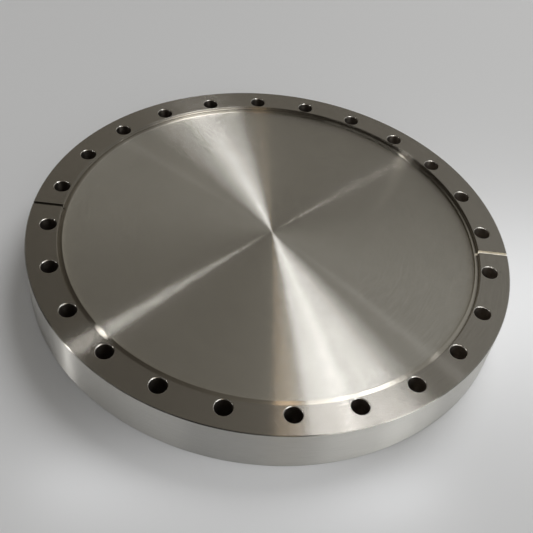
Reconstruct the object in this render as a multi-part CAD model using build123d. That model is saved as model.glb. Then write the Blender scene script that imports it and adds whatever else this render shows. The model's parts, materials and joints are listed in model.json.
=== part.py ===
from build123d import *
import math
import os

# Blank (blind) flange for an ultra-high-vacuum port, DN 200 knife-edge pattern:
# one turned, drilled and grooved disc of stainless steel, sealing face up.
# Millimetres. Origin: centre of the back face. +Z: out of the sealing face.
# +X: along one of the two leak-check grooves.

# Turned disc
OUTSIDE_DIAMETER = 253.2
THICKNESS = 24.6
EDGE_CHAMFER = 0.4
TOOL_NOSE_RADIUS = 0.4

# Sealing face: gasket recess, knife edge and sunk centre
RECESS_DIAMETER = 222.25
RECESS_LIP_BREAK = 0.1
KNIFE_DIAMETER = 216.9
KNIFE_TIP_DEPTH = 0.65
KNIFE_SLOPE = 20.0
SEAT_CORNER_RADIUS = 0.2
CENTRE_DEPTH = 2.1

# Bolt circle
BOLT_COUNT = 24
BOLT_CIRCLE_DIAMETER = 231.85
BOLT_HOLE_DIAMETER = 8.4
BOLT_HOLE_BREAK = 0.3

# Leak-check grooves, milled out of the gasket recess through the outside edge
GROOVE_COUNT = 2
GROOVE_WIDTH = 1.8
GROOVE_DEPTH = 1.4
GROOVE_RUN_IN = 0.4

# Cutters run past the surfaces that they leave
OVERRUN = 2.0

OUTSIDE_RADIUS = OUTSIDE_DIAMETER / 2
RECESS_RADIUS = RECESS_DIAMETER / 2
KNIFE_RADIUS = KNIFE_DIAMETER / 2
BOLT_CIRCLE_RADIUS = BOLT_CIRCLE_DIAMETER / 2
BOLT_PITCH_ANGLE = 360.0 / BOLT_COUNT
GROOVE_PITCH_ANGLE = 360.0 / GROOVE_COUNT

# The seat falls away from the knife tip at KNIFE_SLOPE, so the recess wall ends lower than the tip.
SEAT_WIDTH = RECESS_RADIUS - KNIFE_RADIUS
RECESS_DEPTH = KNIFE_TIP_DEPTH + SEAT_WIDTH * math.tan(math.radians(KNIFE_SLOPE))


def round_corner(face, radius, x, z):
    """Round the corner of an XZ face that lies nearest to the point (x, z)."""
    corner = face.vertices().sort_by_distance(Vector(x, 0, z))[0]
    return fillet(corner, radius)


def half_section():
    """Half of the disc's section in the XZ plane, from the axis to the outside edge."""
    recess_floor = THICKNESS - RECESS_DEPTH
    knife_tip = THICKNESS - KNIFE_TIP_DEPTH
    centre_floor = THICKNESS - CENTRE_DEPTH
    corners = [
        (0, 0, 0),
        (OUTSIDE_RADIUS - EDGE_CHAMFER, 0, 0),
        (OUTSIDE_RADIUS, 0, EDGE_CHAMFER),
        (OUTSIDE_RADIUS, 0, THICKNESS - EDGE_CHAMFER),
        (OUTSIDE_RADIUS - EDGE_CHAMFER, 0, THICKNESS),
        (RECESS_RADIUS + RECESS_LIP_BREAK, 0, THICKNESS),
        (RECESS_RADIUS, 0, THICKNESS - RECESS_LIP_BREAK),
        (RECESS_RADIUS, 0, recess_floor),
        (KNIFE_RADIUS, 0, knife_tip),
        (KNIFE_RADIUS, 0, centre_floor),
        (0, 0, centre_floor),
    ]
    face = make_face(Polyline(*corners, close=True))
    face = round_corner(face, SEAT_CORNER_RADIUS, RECESS_RADIUS, recess_floor)
    return round_corner(face, TOOL_NOSE_RADIUS, KNIFE_RADIUS, centre_floor)


def turned_disc():
    """The lathe work: the whole disc before drilling and milling."""
    return revolve(half_section(), Axis.Z)


def bolt_hole_cutter():
    """A drill through the full thickness that also breaks both mouths at 45 degrees."""
    radius = BOLT_HOLE_DIAMETER / 2
    mouth = BOLT_HOLE_BREAK + OVERRUN
    outline = [
        (0, 0, -OVERRUN),
        (radius + mouth, 0, -OVERRUN),
        (radius, 0, BOLT_HOLE_BREAK),
        (radius, 0, THICKNESS - BOLT_HOLE_BREAK),
        (radius + mouth, 0, THICKNESS + OVERRUN),
        (0, 0, THICKNESS + OVERRUN),
    ]
    return revolve(make_face(Polyline(*outline, close=True)), Axis.Z)


def bolt_holes():
    """All the bolt hole cutters; the grooves lie midway between two holes."""
    drill = Pos(BOLT_CIRCLE_RADIUS, 0, 0) * bolt_hole_cutter()
    return [Rot(0, 0, (i + 0.5) * BOLT_PITCH_ANGLE) * drill for i in range(BOLT_COUNT)]


def groove_cutter():
    """A ball-nosed cut along +X, from just inside the recess wall to past the outside edge.

    Where it starts, the seat is already lower than the cut, so the seat stays whole.
    """
    nose = GROOVE_WIDTH / 2
    start = RECESS_RADIUS - GROOVE_RUN_IN
    length = OUTSIDE_RADIUS + OVERRUN - start
    nose_height = THICKNESS - GROOVE_DEPTH + nose
    round_bottom = Pos(start, 0, nose_height) * Rot(0, 90, 0) * Cylinder(
        nose, length, align=(Align.CENTER, Align.CENTER, Align.MIN)
    )
    straight_sides = Pos(start, 0, nose_height) * Box(
        length, GROOVE_WIDTH, GROOVE_DEPTH + OVERRUN, align=(Align.MIN, Align.CENTER, Align.MIN)
    )
    return round_bottom + straight_sides


def leak_grooves():
    """The leak-check groove cutters, evenly spaced from +X."""
    cutter = groove_cutter()
    return [Rot(0, 0, i * GROOVE_PITCH_ANGLE) * cutter for i in range(GROOVE_COUNT)]


def blank_flange():
    """The finished flange, one solid."""
    flange = turned_disc() - bolt_holes() - leak_grooves()
    flange.label = "blank_flange"
    return flange


def main():
    os.makedirs("parts", exist_ok=True)
    export_step(blank_flange(), "parts/blank_flange.step")


main()
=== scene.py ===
"""Looks of a blank knife-edge vacuum flange: one turned, drilled and grooved disc of stainless steel.

Lengths are millimetres in the CAD frame until a mesh, lamp or camera is made, where MM turns them
into metres. +Z comes out of the sealing face, and +X runs along one of the two leak-check grooves.
"""
import bmesh
import bpy
import json
import math
import numpy as np
from mathutils import Matrix, Vector


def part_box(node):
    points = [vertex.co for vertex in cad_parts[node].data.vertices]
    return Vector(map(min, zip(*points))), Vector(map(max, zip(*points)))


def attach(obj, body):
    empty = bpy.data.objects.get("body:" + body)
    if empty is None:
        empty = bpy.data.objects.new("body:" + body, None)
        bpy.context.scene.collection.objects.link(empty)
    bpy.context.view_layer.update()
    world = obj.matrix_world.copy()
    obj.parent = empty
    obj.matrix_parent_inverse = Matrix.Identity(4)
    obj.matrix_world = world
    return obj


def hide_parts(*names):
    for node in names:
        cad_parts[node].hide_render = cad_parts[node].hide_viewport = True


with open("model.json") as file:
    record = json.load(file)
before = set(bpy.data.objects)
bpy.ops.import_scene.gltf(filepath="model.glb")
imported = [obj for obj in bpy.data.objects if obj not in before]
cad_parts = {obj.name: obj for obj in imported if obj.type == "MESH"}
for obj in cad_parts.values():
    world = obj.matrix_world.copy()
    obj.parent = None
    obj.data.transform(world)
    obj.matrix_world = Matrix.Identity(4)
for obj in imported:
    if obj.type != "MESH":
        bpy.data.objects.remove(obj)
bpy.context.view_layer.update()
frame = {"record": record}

MM = 0.001

# Turned profile
EDGE_CHAMFER = 0.4
LIP_BREAK = 0.1
RECESS_RADIUS = 111.125
KNIFE_RADIUS = 108.45
KNIFE_DEPTH = 0.65
KNIFE_SLOPE = math.radians(20.0)
KNIFE_TIP_ROUND = 0.06
SEAT_CORNER_RADIUS = 0.2
CENTRE_DEPTH = 2.1
TOOL_NOSE_RADIUS = 0.4
TURNED_SEGMENTS = 720
CORNER_STEPS = 5

# The last pass inside the knife edge, finished apart from the centre
UNDERCUT_WIDTH = 2.4

# Drilled and milled features
HOLE_BREAK = 0.3
HOLE_SEGMENTS = 96
GROOVE_COUNT = 2
GROOVE_WIDTH = 1.8
GROOVE_DEPTH = 1.4
GROOVE_RUN_IN = 0.4
GROOVE_START = RECESS_RADIUS - GROOVE_RUN_IN
GROOVE_STEPS = 24

# Cutters run past the surfaces that they leave
OVERRUN = 2.0

# Mesh points closer than this are one point, and shading breaks at edges sharper than this
SAME_POINT = 1e-4
SHARP_EDGE = math.radians(30.0)

# Faces closer than this to a plane or radius belong to it
NEAR = 0.02

# Upward part of a unit normal: below STEEP is a wall, above FLAT a face, in between a slanted break
STEEP = 0.3
FLAT = 0.95

# Part of a unit normal along X that the faces of a groove stay under
ALONG_GROOVE = 0.1


# ---------------------------------------------------------------- shape


class Sizes:
    """The sizes that the CAD frame and its record give, in millimetres."""

    def __init__(self, record):
        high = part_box("blank_flange")[1]
        self.radius = high.x / MM
        self.thickness = high.z / MM
        bolts = next(m for m in record["mounts"] if m["name"] == "bolt_circle")
        self.bolt_radius = bolts["dims"]["pcd_mm"] / 2
        self.bolt_count = bolts["dims"]["count"]
        self.hole_radius = bolts["dims"]["hole_r_mm"]

    def hole_axes(self):
        """Where the holes' axes cross the XY plane; two of them stand half a pitch from +X."""
        pitch = math.tau / self.bolt_count
        angles = [(i + 0.5) * pitch for i in range(self.bolt_count)]
        return [(self.bolt_radius * math.cos(a), self.bolt_radius * math.sin(a)) for a in angles]


def rounded(corner, before, after, radius, steps):
    """Points of an arc that rounds a corner between its two neighbours, in the (r, z) plane."""
    corner, before, after = (np.array(p, float) for p in (corner, before, after))
    a = (before - corner) / np.linalg.norm(before - corner)
    b = (after - corner) / np.linalg.norm(after - corner)
    half = math.acos(float(np.clip(a @ b, -1.0, 1.0))) / 2
    bisector = (a + b) / np.linalg.norm(a + b)
    centre = corner + bisector * radius / math.sin(half)
    start = corner + a * radius / math.tan(half) - centre
    end = corner + b * radius / math.tan(half) - centre
    sweep = math.pi - 2 * half
    points = []
    for i in range(steps + 1):
        t = i / steps
        p = centre + (start * math.sin((1 - t) * sweep) + end * math.sin(t * sweep)) / math.sin(sweep)
        points.append(tuple(p))
    return points


def turned_profile(sizes):
    """Half of the section, from the axis on the back face round to the axis on the sealing face."""
    top = sizes.thickness
    edge = sizes.radius
    centre_z = top - CENTRE_DEPTH
    tip = (KNIFE_RADIUS, top - KNIFE_DEPTH)
    seat_drop = (RECESS_RADIUS - KNIFE_RADIUS) * math.tan(KNIFE_SLOPE)
    seat_corner = (RECESS_RADIUS, tip[1] - seat_drop)
    lip = (RECESS_RADIUS, top - LIP_BREAK)
    foot = (KNIFE_RADIUS, centre_z)
    undercut = (KNIFE_RADIUS - UNDERCUT_WIDTH, centre_z)
    return [
        (0.0, 0.0),
        (edge - EDGE_CHAMFER, 0.0),
        (edge, EDGE_CHAMFER),
        (edge, top - EDGE_CHAMFER),
        (edge - EDGE_CHAMFER, top),
        (RECESS_RADIUS + LIP_BREAK, top),
        lip,
        *rounded(seat_corner, lip, tip, SEAT_CORNER_RADIUS, CORNER_STEPS),
        *rounded(tip, seat_corner, foot, KNIFE_TIP_ROUND, CORNER_STEPS),
        *rounded(foot, tip, undercut, TOOL_NOSE_RADIUS, CORNER_STEPS),
        undercut,
        (0.0, centre_z),
    ]


def revolve(outline, segments, name):
    """A closed mesh from an outline that starts and ends on the Z axis."""
    mesh = bmesh.new()
    angles = [math.tau * i / segments for i in range(segments)]
    first = mesh.verts.new((0.0, 0.0, outline[0][1]))
    last = mesh.verts.new((0.0, 0.0, outline[-1][1]))
    rings = []
    for r, z in outline[1:-1]:
        rings.append([mesh.verts.new((r * math.cos(a), r * math.sin(a), z)) for a in angles])
    for i in range(segments):
        j = (i + 1) % segments
        mesh.faces.new((first, rings[0][j], rings[0][i]))
        for low, high in zip(rings, rings[1:]):
            mesh.faces.new((low[i], low[j], high[j], high[i]))
        mesh.faces.new((rings[-1][i], rings[-1][j], last))
    return as_object(mesh, name)


def as_object(mesh, name):
    """An object in the scene from a mesh under construction, which is freed."""
    data = bpy.data.meshes.new(name)
    mesh.to_mesh(data)
    mesh.free()
    made = bpy.data.objects.new(name, data)
    bpy.context.scene.collection.objects.link(made)
    return made


def hole_cutter(sizes):
    """A drill through the full thickness whose flanks break both mouths at 45 degrees."""
    mouth = HOLE_BREAK + OVERRUN
    top = sizes.thickness
    outline = [
        (0.0, -OVERRUN),
        (sizes.hole_radius + mouth, -OVERRUN),
        (sizes.hole_radius, HOLE_BREAK),
        (sizes.hole_radius, top - HOLE_BREAK),
        (sizes.hole_radius + mouth, top + OVERRUN),
        (0.0, top + OVERRUN),
    ]
    return revolve(outline, HOLE_SEGMENTS, "hole_cutter")


def groove_cutter(sizes):
    """A round-bottomed bar along +X, from just inside the recess wall to past the outside edge."""
    nose = GROOVE_WIDTH / 2
    nose_z = sizes.thickness - GROOVE_DEPTH + nose
    section = [(nose, sizes.thickness + OVERRUN), (-nose, sizes.thickness + OVERRUN)]
    for i in range(GROOVE_STEPS + 1):
        a = math.pi * (1 + i / GROOVE_STEPS)
        section.append((nose * math.cos(a), nose_z + nose * math.sin(a)))
    mesh = bmesh.new()
    ends = []
    for x in (GROOVE_START, sizes.radius + OVERRUN):
        ends.append([mesh.verts.new((x, y, z)) for y, z in section])
    count = len(section)
    mesh.faces.new(ends[0][::-1])
    mesh.faces.new(ends[1])
    for i in range(count):
        j = (i + 1) % count
        mesh.faces.new((ends[0][i], ends[0][j], ends[1][j], ends[1][i]))
    return as_object(mesh, "groove_cutter")


def joined_copies(cutters, name):
    """One mesh of all the cutters, each given as (object, placement matrix)."""
    mesh = bmesh.new()
    for cutter, placement in cutters:
        data = cutter.data.copy()
        data.transform(placement)
        mesh.from_mesh(data)
        bpy.data.meshes.remove(data)
    return as_object(mesh, name)


def all_cutters(sizes, axes):
    """The drills and the groove bars, each in its place, as one mesh."""
    drill = hole_cutter(sizes)
    groove = groove_cutter(sizes)
    placed = [(drill, Matrix.Translation((x, y, 0.0))) for x, y in axes]
    for i in range(GROOVE_COUNT):
        placed.append((groove, Matrix.Rotation(math.tau * i / GROOVE_COUNT, 4, "Z")))
    cutters = joined_copies(placed, "cutters")
    bpy.data.objects.remove(drill)
    bpy.data.objects.remove(groove)
    return cutters


def cut_away(body, cutter):
    """Take the cutter out of the body and remove the cutter."""
    modifier = body.modifiers.new("cut", "BOOLEAN")
    modifier.operation = "DIFFERENCE"
    modifier.solver = "MANIFOLD"
    modifier.object = cutter
    apply_modifiers(body)
    bpy.data.objects.remove(cutter)


def apply_modifiers(body):
    """Make the result of the body's modifiers its own mesh."""
    bpy.context.view_layer.update()
    graph = bpy.context.evaluated_depsgraph_get()
    result = bpy.data.meshes.new_from_object(body.evaluated_get(graph))
    body.modifiers.clear()
    body.data = result


def smooth_with_sharp_edges(body):
    """Smooth shading that breaks only at real corners, with the large faces ruling the normals."""
    mesh = bmesh.new()
    mesh.from_mesh(body.data)
    bmesh.ops.remove_doubles(mesh, verts=mesh.verts, dist=SAME_POINT)
    for face in mesh.faces:
        face.smooth = True
    for edge in mesh.edges:
        edge.smooth = edge.is_manifold and edge.calc_face_angle(0.0) < SHARP_EDGE
    mesh.to_mesh(body.data)
    mesh.free()
    modifier = body.modifiers.new("weigh", "WEIGHTED_NORMAL")
    modifier.keep_sharp = True
    apply_modifiers(body)


def zone_of(centre, normal, sizes, axes):
    """The name of the machining operation that made a face."""
    radius = math.hypot(centre.x, centre.y)
    below_top = sizes.thickness - centre.z
    slanted = STEEP < abs(normal.z) < FLAT
    to_hole = min(math.hypot(centre.x - x, centre.y - y) for x, y in axes)
    if to_hole < sizes.hole_radius + HOLE_BREAK and abs(normal.z) < FLAT:
        return "mouth" if slanted else "bore"
    in_groove = abs(centre.y) < GROOVE_WIDTH / 2 + NEAR and radius > GROOVE_START - NEAR
    if in_groove and abs(normal.x) < ALONG_GROOVE and NEAR < below_top < GROOVE_DEPTH + NEAR:
        return "groove"
    if centre.z < NEAR:
        return "back"
    if radius > sizes.radius - EDGE_CHAMFER:
        return "edge" if slanted else "side"
    if below_top < NEAR:
        return "rim"
    if radius > RECESS_RADIUS - NEAR:
        return "edge" if slanted else "wall"
    if radius < KNIFE_RADIUS - UNDERCUT_WIDTH:
        return "centre"
    if below_top > CENTRE_DEPTH - NEAR:
        return "undercut"
    return "seat"


def give_finishes(body, sizes, axes):
    """Give each face the material of the machining operation that made it."""
    finishes = make_finishes()
    zones = list(finishes)
    body.data.materials.clear()
    for zone in zones:
        body.data.materials.append(finishes[zone])
    for face in body.data.polygons:
        face.material_index = zones.index(zone_of(face.center, face.normal, sizes, axes))


def build_flange(record):
    """The whole flange as one piece."""
    sizes = Sizes(record)
    axes = sizes.hole_axes()
    body = revolve(turned_profile(sizes), TURNED_SEGMENTS, "machined_flange")
    cut_away(body, all_cutters(sizes, axes))
    smooth_with_sharp_edges(body)
    give_finishes(body, sizes, axes)
    body.data.transform(Matrix.Scale(MM, 4))
    return body


# ---------------------------------------------------------------- materials

# Colours of the steel, from the lightest surface to the darkest. The side wall's colour holds painted
# light; the recess wall, chamfer, bore and groove colours hold painted shade.
MOUTH_STEEL = (0.78, 0.76, 0.72)
# Painted light: the side wall is made lighter than the faced steel, standing for the bright room it
# reflects
SIDE_STEEL_PAINTED_LIGHT = (0.68, 0.67, 0.64)
STEEL = (0.585, 0.575, 0.545)
SEAT_STEEL = (0.48, 0.455, 0.41)
RIM_STEEL = (0.385, 0.37, 0.345)
# Painted shade: the chamfers are darkened into dark lines, standing for the dark room they reflect and
# the shadow where the flange meets the table
EDGE_STEEL_PAINTED_SHADE = (0.36, 0.35, 0.32)
# Painted shade: the recess wall is darkened, so that it and the seat that reflects it look shaded
# inside the recess
WALL_STEEL_PAINTED_SHADE = (0.36, 0.34, 0.31)
# Painted shade: the bores are darkened to stand for the shade inside the holes
BORE_STEEL_PAINTED_SHADE = (0.195, 0.172, 0.15)
# Painted shade: the grooves are darkened to stand for the shade inside them
GROOVE_STEEL_PAINTED_SHADE = (0.16, 0.15, 0.13)

UP = (0.0, 0.0, 1.0)

# The turning marks change with the radius plus this share of the height, so that walls have them too
HEIGHT_SHARE = 1.618

# Short bright and dark turning marks: their width, and how many fit in a radian
STREAK_PITCH = 0.75
STREAKS_PER_RADIAN = 12.0

# Broad cloudiness of the steel, in clouds to a millimetre
CLOUD_SCALE = 0.03

# How far clouds, rings and streaks change the colour, as shares of it
CLOUD_TONE = 0.12
RING_TONE = 0.14
STREAK_TONE = 0.16

# How far clouds and rings change the roughness
CLOUD_ROUGHNESS = 0.04
RING_ROUGHNESS = 0.10

# Handling marks: one possible mark to a cell, and the share of cells that have one
SPECK_CELL = 20.0
SPECK_RADIUS = 0.35
SPECK_SHARE = 0.2

# Marks of a drill or cutter: the pitch of its rings, and patches to a millimetre
DRILL_MARK_PITCH = 0.6
PATCH_SCALE = 0.5

# How far drilled rings and patches tilt the surface, change its colour and change its roughness
DRILL_RING_TILT = 0.25
PATCH_TILT = 0.1
DRILL_RING_TONE = 0.8
PATCH_TONE = 0.9
PATCH_ROUGHNESS = 0.1

# Painted light on drilled and milled surfaces, which grow lighter toward +X: the distance at which it
# reaches full strength, and how softly it does
PAINTED_LIGHT_FULL_X = 100.0
PAINTED_LIGHT_BLEND = 0.1

# Three random numbers from 0 to 1 add up to this on average, with this standard deviation
THREE_RANDOM_MEAN = 1.5
THREE_RANDOM_DEVIATION = 0.5


class Graph:
    """A short way to add nodes to a material or world and wire them."""

    def __init__(self, owner):
        owner.use_nodes = True
        self.tree = owner.node_tree

    def node(self, kind, **settings):
        made = self.tree.nodes.new("ShaderNode" + kind)
        for key, value in settings.items():
            setattr(made, key, value)
        return made

    def feed(self, socket, value):
        """Link a socket to another node's output, or give it a plain value."""
        if isinstance(value, bpy.types.NodeSocket):
            self.tree.links.new(value, socket)
        else:
            socket.default_value = value

    def math(self, operation, *values):
        made = self.node("Math", operation=operation)
        for socket, value in zip(made.inputs, values):
            self.feed(socket, value)
        return made.outputs[0]

    def weighted(self, start, *terms):
        """The start plus the product of each (value, weight)."""
        total = start
        for value, weight in terms:
            total = self.math("ADD", total, self.math("MULTIPLY", value, weight))
        return total

    def vector(self, operation, *values):
        made = self.node("VectorMath", operation=operation)
        for socket, value in zip(made.inputs, values):
            self.feed(socket, value)
        return made.outputs["Value" if operation in ("LENGTH", "DOT_PRODUCT") else "Vector"]

    def scaled(self, vector, scale):
        made = self.node("VectorMath", operation="SCALE")
        self.feed(made.inputs[0], vector)
        self.feed(made.inputs["Scale"], scale)
        return made.outputs["Vector"]

    def split(self, vector):
        made = self.node("SeparateXYZ")
        self.feed(made.inputs[0], vector)
        return made.outputs

    def joined(self, x, y, z):
        made = self.node("CombineXYZ")
        for socket, value in zip(made.inputs, (x, y, z)):
            self.feed(socket, value)
        return made.outputs[0]

    def place(self):
        """Position on the flange, in millimetres."""
        return self.scaled(self.node("TexCoord").outputs["Object"], 1.0 / MM)

    def noise(self, vector, scale=1.0, detail=2.0, roughness=0.6):
        """Noise about zero, within about one half each way."""
        made = self.node("TexNoise", noise_dimensions="3D")
        self.feed(made.inputs["Vector"], vector)
        made.inputs["Scale"].default_value = scale
        made.inputs["Detail"].default_value = detail
        made.inputs["Roughness"].default_value = roughness
        return self.math("SUBTRACT", made.outputs["Fac"], 0.5)

    def across(self, around, normal):
        """Unit vector that lies in the surface, across marks that run the way of `around`."""
        return self.vector("NORMALIZE", self.vector("CROSS_PRODUCT", around, normal))

    def bare_metal(self, colour, roughness, normal, across, slope, anisotropy):
        """Metal whose normal leans `slope` across its marks, the way its highlight is stretched."""
        bent = self.vector("NORMALIZE", self.vector("ADD", normal, self.scaled(across, slope)))
        shader = self.tree.nodes["Principled BSDF"]
        self.feed(shader.inputs["Base Color"], colour)
        self.feed(shader.inputs["Roughness"], roughness)
        self.feed(shader.inputs["Normal"], bent)
        self.feed(shader.inputs["Tangent"], across)
        shader.inputs["Metallic"].default_value = 1.0
        shader.inputs["Anisotropic"].default_value = anisotropy


def micro_slope(graph, place, spread):
    """Slope of the finest marks, drawn afresh at every point, with `spread` as standard deviation."""
    white = graph.node("TexWhiteNoise", noise_dimensions="3D")
    graph.feed(white.inputs["Vector"], place)
    channels = graph.split(white.outputs["Color"])
    total = graph.math("ADD", graph.math("ADD", channels[0], channels[1]), channels[2])
    about_zero = graph.math("SUBTRACT", total, THREE_RANDOM_MEAN)
    return graph.math("MULTIPLY", about_zero, spread / THREE_RANDOM_DEVIATION)


def speck_mask(graph, place):
    """One inside a few small round marks strewn over the faces, zero elsewhere."""
    cells = graph.node("TexVoronoi", voronoi_dimensions="2D", feature="F1")
    graph.feed(cells.inputs["Vector"], place)
    cells.inputs["Scale"].default_value = 1.0 / SPECK_CELL
    inside = graph.math("LESS_THAN", cells.outputs["Distance"], SPECK_RADIUS / SPECK_CELL)
    chosen = graph.math("LESS_THAN", graph.split(cells.outputs["Color"])[0], SPECK_SHARE)
    return graph.math("MULTIPLY", inside, chosen)


def turned_finish(name, colour, roughness, spread, ring_pitch, ring_tilt,
                  streak_tilt=0.0, lean=0.0, specks=0.0):
    """Steel left by a lathe tool: grooves round the axis that spread light along the radius.

    `spread` and `lean` are the standard deviation and the mean of the slope across the grooves.
    `ring_tilt` and `streak_tilt` change it from ring to ring and along a ring. `specks` lightens
    a few small marks, or darkens them if it is negative.
    """
    material = bpy.data.materials.new(name)
    graph = Graph(material)
    place = graph.place()
    x, y, z = graph.split(place)
    from_axis = graph.joined(x, y, 0.0)
    outward = graph.vector("NORMALIZE", from_axis)
    around = graph.vector("CROSS_PRODUCT", UP, outward)
    normal = graph.node("NewGeometry").outputs["Normal"]
    across = graph.across(around, normal)

    along = graph.weighted(graph.vector("LENGTH", from_axis), (z, HEIGHT_SHARE))
    rings = graph.noise(graph.joined(graph.math("DIVIDE", along, ring_pitch), 0.0, 0.0))
    streak_rings = graph.joined(0.0, 0.0, graph.math("DIVIDE", along, STREAK_PITCH))
    streaks = graph.noise(graph.vector("ADD", graph.scaled(outward, STREAKS_PER_RADIAN), streak_rings))
    clouds = graph.noise(place, CLOUD_SCALE, detail=3.0, roughness=0.55)

    slope = graph.math("ADD", micro_slope(graph, place, spread), lean)
    slope = graph.weighted(slope, (rings, ring_tilt), (streaks, streak_tilt))
    tone = graph.weighted(1.0, (clouds, CLOUD_TONE), (rings, RING_TONE), (streaks, STREAK_TONE))
    if specks:
        tone = graph.weighted(tone, (speck_mask(graph, place), specks))
    rough = graph.weighted(roughness, (clouds, CLOUD_ROUGHNESS), (rings, RING_ROUGHNESS))
    graph.bare_metal(graph.scaled(colour, tone), rough, normal, across, slope, anisotropy=1.0)
    return material


def bored_finish(name, colour, roughness, spread, anisotropy, painted_light_gain=0.0):
    """Steel left by a drill or cutter: marks round the walls, with patches that vary its tone.

    On the +X half of the flange the colour grows lighter, up to 1 + `painted_light_gain` times: painted
    light on that side.
    """
    material = bpy.data.materials.new(name)
    graph = Graph(material)
    place = graph.place()
    x, _, z = graph.split(place)
    normal = graph.node("NewGeometry").outputs["Normal"]
    around = graph.vector("NORMALIZE", graph.vector("CROSS_PRODUCT", normal, UP))
    across = graph.across(around, normal)

    rings = graph.noise(graph.joined(graph.math("DIVIDE", z, DRILL_MARK_PITCH), 0.0, 0.0))
    patches = graph.noise(place, PATCH_SCALE, detail=3.0)

    slope = micro_slope(graph, place, spread)
    slope = graph.weighted(slope, (rings, DRILL_RING_TILT), (patches, PATCH_TILT))
    # Painted light: the colour grows lighter toward +X, where more light falls into the holes and
    # grooves
    toward_x = graph.math("MAXIMUM", graph.math("DIVIDE", x, PAINTED_LIGHT_FULL_X), 0.0)
    side = graph.math("SMOOTH_MIN", toward_x, 1.0, PAINTED_LIGHT_BLEND)
    tone = graph.weighted(1.0, (patches, PATCH_TONE), (rings, DRILL_RING_TONE))
    tone = graph.math("MULTIPLY", tone, graph.weighted(1.0, (side, painted_light_gain)))
    rough = graph.weighted(roughness, (patches, PATCH_ROUGHNESS))
    graph.bare_metal(graph.scaled(colour, tone), rough, normal, across, slope, anisotropy)
    return material


def make_finishes():
    """A material for each machining operation, some of whose colours hold painted light or shade."""
    return {
        "centre": turned_finish(
            "faced_centre", STEEL, roughness=0.21, spread=0.43,
            ring_pitch=0.7, ring_tilt=0.25, specks=0.4,
        ),
        "undercut": turned_finish(
            "faced_undercut", STEEL, roughness=0.21, spread=0.40, ring_pitch=0.5, ring_tilt=0.3,
        ),
        "seat": turned_finish(
            "turned_seat", SEAT_STEEL, roughness=0.18, spread=0.07, ring_pitch=0.4, ring_tilt=0.08,
        ),
        # The recess wall's dark colour is painted shade
        "wall": turned_finish(
            "turned_wall_painted_shade", WALL_STEEL_PAINTED_SHADE, roughness=0.25, spread=0.35, ring_pitch=0.4, ring_tilt=0.1,
        ),
        "rim": turned_finish(
            "faced_rim", RIM_STEEL, roughness=0.19, spread=0.27,
            ring_pitch=0.7, ring_tilt=0.12, streak_tilt=0.06, lean=0.07, specks=-0.6,
        ),
        # The chamfers' dark colour is painted shade
        "edge": turned_finish(
            "broken_edge_painted_shade", EDGE_STEEL_PAINTED_SHADE, roughness=0.18, spread=0.10, ring_pitch=0.5, ring_tilt=0.05,
        ),
        # The side wall's light colour is painted light
        "side": turned_finish(
            "turned_side_painted_light", SIDE_STEEL_PAINTED_LIGHT, roughness=0.32, spread=0.45,
            ring_pitch=0.8, ring_tilt=0.3, streak_tilt=0.2,
        ),
        "back": turned_finish(
            "faced_back", STEEL, roughness=0.25, spread=0.32,
            ring_pitch=1.1, ring_tilt=0.3, streak_tilt=0.1,
        ),
        # The bores' dark colour is painted shade, and they grow lighter toward +X as painted light
        "bore": bored_finish(
            "drilled_bore_painted_shade", BORE_STEEL_PAINTED_SHADE, roughness=0.35, spread=0.3, anisotropy=0.5, painted_light_gain=0.9,
        ),
        "mouth": bored_finish(
            "broken_hole_mouth", MOUTH_STEEL, roughness=0.20, spread=0.3, anisotropy=1.0,
        ),
        # The grooves' dark colour is painted shade, and they grow lighter toward +X as painted light
        "groove": bored_finish(
            "milled_groove_painted_shade", GROOVE_STEEL_PAINTED_SHADE, roughness=0.35, spread=0.1, anisotropy=0.5, painted_light_gain=3.5,
        ),
    }


# ---------------------------------------------------------------- stage

# The table top, with half its side in metres
FLOOR_COLOUR = (0.76, 0.77, 0.79, 1.0)
FLOOR_ROUGHNESS = 0.6
FLOOR_HALF_SIDE = 40.0

# Height of the overhead lamps, and how far one hangs below the others
LAMP_HEIGHT = 420.0
LAMP_GAP = 1.0

# Colours of the lamps
WHITE = (1.0, 1.0, 1.0)
PALE_WHITE = (1.0, 1.0, 0.98)
SOFT_WHITE = (1.0, 0.99, 0.97)
CREAM = (1.0, 0.98, 0.94)
AMBER = (1.0, 0.75, 0.50)
YELLOW = (1.0, 0.78, 0.45)

# Radiance of the room: lighter on the right and beyond the flange, darker and browner on the left
ROOM_GLOW = 0.18
ROOM_GRADIENT = (0.28, 0.12, 0.0)
ROOM_DARKEST = 0.015
ROOM_COLOUR = (1.0, 0.93, 0.80)
ROOM_COLOUR_GRADIENT = (0.0, 0.08, 0.18)

# The camera: its direction from the target, with azimuth measured from -Y toward +X, and its roll
CAMERA_TARGET = Vector((-1.51, -28.38, 24.6))
CAMERA_DISTANCE = 395.71
CAMERA_AZIMUTH = math.radians(-2.523)
CAMERA_ELEVATION = math.radians(45.637)
CAMERA_ROLL = math.radians(8.044)

# Its lens, and the distance in metres at which it starts to see
SENSOR_WIDTH = 36.0
FOCAL_LENGTH = 52.91
CLIP_START = 0.01


def make_floor():
    """A plain pale table top at the height of the back face."""
    material = bpy.data.materials.new("table_top")
    shader = Graph(material).tree.nodes["Principled BSDF"]
    shader.inputs["Base Color"].default_value = FLOOR_COLOUR
    shader.inputs["Roughness"].default_value = FLOOR_ROUGHNESS
    mesh = bmesh.new()
    bmesh.ops.create_grid(mesh, x_segments=1, y_segments=1, size=FLOOR_HALF_SIDE)
    floor = as_object(mesh, "floor")
    floor.data.materials.append(material)
    return floor


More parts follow.
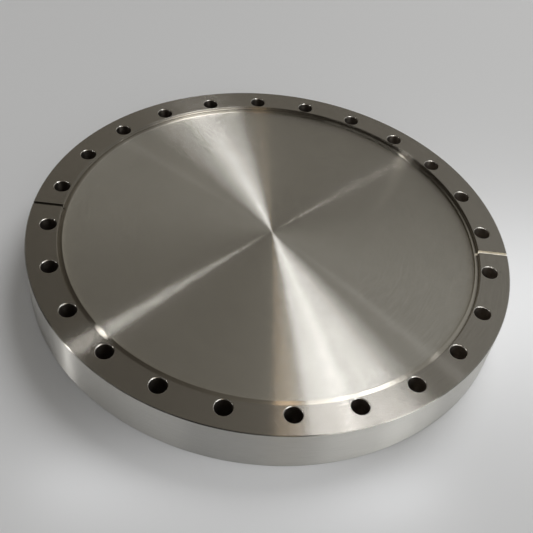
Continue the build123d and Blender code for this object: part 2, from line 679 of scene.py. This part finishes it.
def panel_light(name, middle, size, radiance, colour):
    """A rectangular lamp that faces straight down and that the camera doesn't see."""
    data = bpy.data.lights.new(name, "AREA")
    data.shape = "RECTANGLE"
    data.size = size[0] * MM
    data.size_y = size[1] * MM
    data.energy = radiance * math.pi * data.size * data.size_y
    data.color = colour
    lamp = bpy.data.objects.new(name, data)
    bpy.context.scene.collection.objects.link(lamp)
    lamp.location = Vector(middle) * MM
    lamp.visible_camera = False
    return lamp


def ceiling_light(name, middle, size, radiance, colour=WHITE, turn=0.0):
    """A panel that faces straight down, turned about the vertical by so many degrees."""
    lamp = panel_light(name, middle, size, radiance, colour)
    lamp.rotation_euler = (0.0, 0.0, math.radians(turn))
    return lamp


def aimed_light(name, middle, size, radiance, colour=WHITE):
    """A panel that stands to one side and faces the flange."""
    lamp = panel_light(name, middle, size, radiance, colour)
    lamp.rotation_euler = (-lamp.location).to_track_quat("-Z", "Y").to_euler()
    return lamp


def sun_light(name, from_zenith, azimuth, width, strength):
    """Light from one far direction, with angles in degrees."""
    data = bpy.data.lights.new(name, "SUN")
    data.energy = strength
    data.angle = math.radians(width)
    lamp = bpy.data.objects.new(name, data)
    bpy.context.scene.collection.objects.link(lamp)
    lamp.rotation_euler = (0.0, math.radians(from_zenith), math.radians(azimuth))
    return lamp


def light_only(lamps, target):
    """Let the lamps light one object alone; every object still casts its shadow."""
    for lamp in lamps:
        receivers = bpy.data.collections.new(lamp.name + "_receivers")
        receivers.objects.link(target)
        lamp.light_linking.receiver_collection = receivers


def flange_lamps():
    """The panels that the flange reflects."""
    tube_height = LAMP_HEIGHT - LAMP_GAP
    return [
        ceiling_light("main_strip", (162, 16, LAMP_HEIGHT), (348, 38), 4.5, turn=-50),
        ceiling_light("main_panel", (191, -23, LAMP_HEIGHT), (205, 173), 3.9, turn=14),
        ceiling_light("bright_tube", (153, -23, tube_height), (12, 70), 11.0),
        ceiling_light("side_spot", (-345, 10, LAMP_HEIGHT), (40, 40), 14.5, SOFT_WHITE, turn=45),
        ceiling_light("warm_edge", (74, -150, LAMP_HEIGHT), (52, 130), 1.5, AMBER),
        aimed_light("far_lamp", (915, 375, 1125), (60, 60), 5.0),
        aimed_light("warm_corner", (130, -480, 490), (90, 90), 1.5, YELLOW),
        aimed_light("front_panel", (450, -450, 430), (450, 350), 2.0, PALE_WHITE),
        aimed_light("right_low", (586, -366, 202), (270, 90), 4.2, PALE_WHITE),
        aimed_light("low_panel", (-560, -430, 75), (800, 150), 0.9, CREAM),
        aimed_light("left_window", (-650, -211, 150), (34, 260), 9.0, SOFT_WHITE),
    ]


def table_lamps():
    """The lamps that brighten the table and throw the flange's soft shadow on it."""
    return [
        ceiling_light("right_glow", (172, -8, 100), (60, 60), 3.8),
        ceiling_light("front_glow", (-5, -136, 28), (170, 10), 1.6, turn=4),
        sun_light("window_on_table", from_zenith=47, azimuth=62, width=36, strength=1.32),
        sun_light("front_fill", from_zenith=50, azimuth=-95, width=60, strength=0.44),
    ]


def make_lights(flange, floor):
    """The room's glow, the lamps for the flange and the lamps for the table."""
    make_room()
    light_only(flange_lamps(), flange)
    light_only(table_lamps(), floor)


def make_room():
    """A dim room all round, as a smooth function of direction."""
    world = bpy.data.worlds.new("studio")
    bpy.context.scene.world = world
    graph = Graph(world)
    direction = graph.node("TexCoord").outputs["Generated"]
    slope = graph.vector("DOT_PRODUCT", direction, ROOM_GRADIENT)
    glow = graph.math("MAXIMUM", graph.math("ADD", slope, ROOM_GLOW), ROOM_DARKEST)
    to_right = graph.split(direction)[0]
    colour = graph.vector("ADD", ROOM_COLOUR, graph.scaled(ROOM_COLOUR_GRADIENT, to_right))
    background = graph.tree.nodes["Background"]
    graph.feed(background.inputs["Color"], colour)
    graph.feed(background.inputs["Strength"], glow)


def make_camera():
    """The viewing angle, with the slight roll of a hand-held picture and plain colours."""
    back = Vector((
        math.sin(CAMERA_AZIMUTH) * math.cos(CAMERA_ELEVATION),
        -math.cos(CAMERA_AZIMUTH) * math.cos(CAMERA_ELEVATION),
        math.sin(CAMERA_ELEVATION),
    ))
    data = bpy.data.cameras.new("camera")
    data.sensor_width = SENSOR_WIDTH
    data.lens = FOCAL_LENGTH
    data.clip_start = CLIP_START
    camera = bpy.data.objects.new("camera", data)
    bpy.context.scene.collection.objects.link(camera)
    turn = (-back).to_track_quat("-Z", "Y").to_matrix().to_4x4()
    place = Matrix.Translation((CAMERA_TARGET + back * CAMERA_DISTANCE) * MM)
    camera.matrix_world = place @ turn @ Matrix.Rotation(CAMERA_ROLL, 4, "Z")
    bpy.context.scene.camera = camera
    bpy.context.scene.view_settings.view_transform = "Standard"


# ---------------------------------------------------------------- scene

flange = build_flange(frame["record"])
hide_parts("blank_flange")
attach(flange, "root")
floor = make_floor()
make_lights(flange, floor)
make_camera()
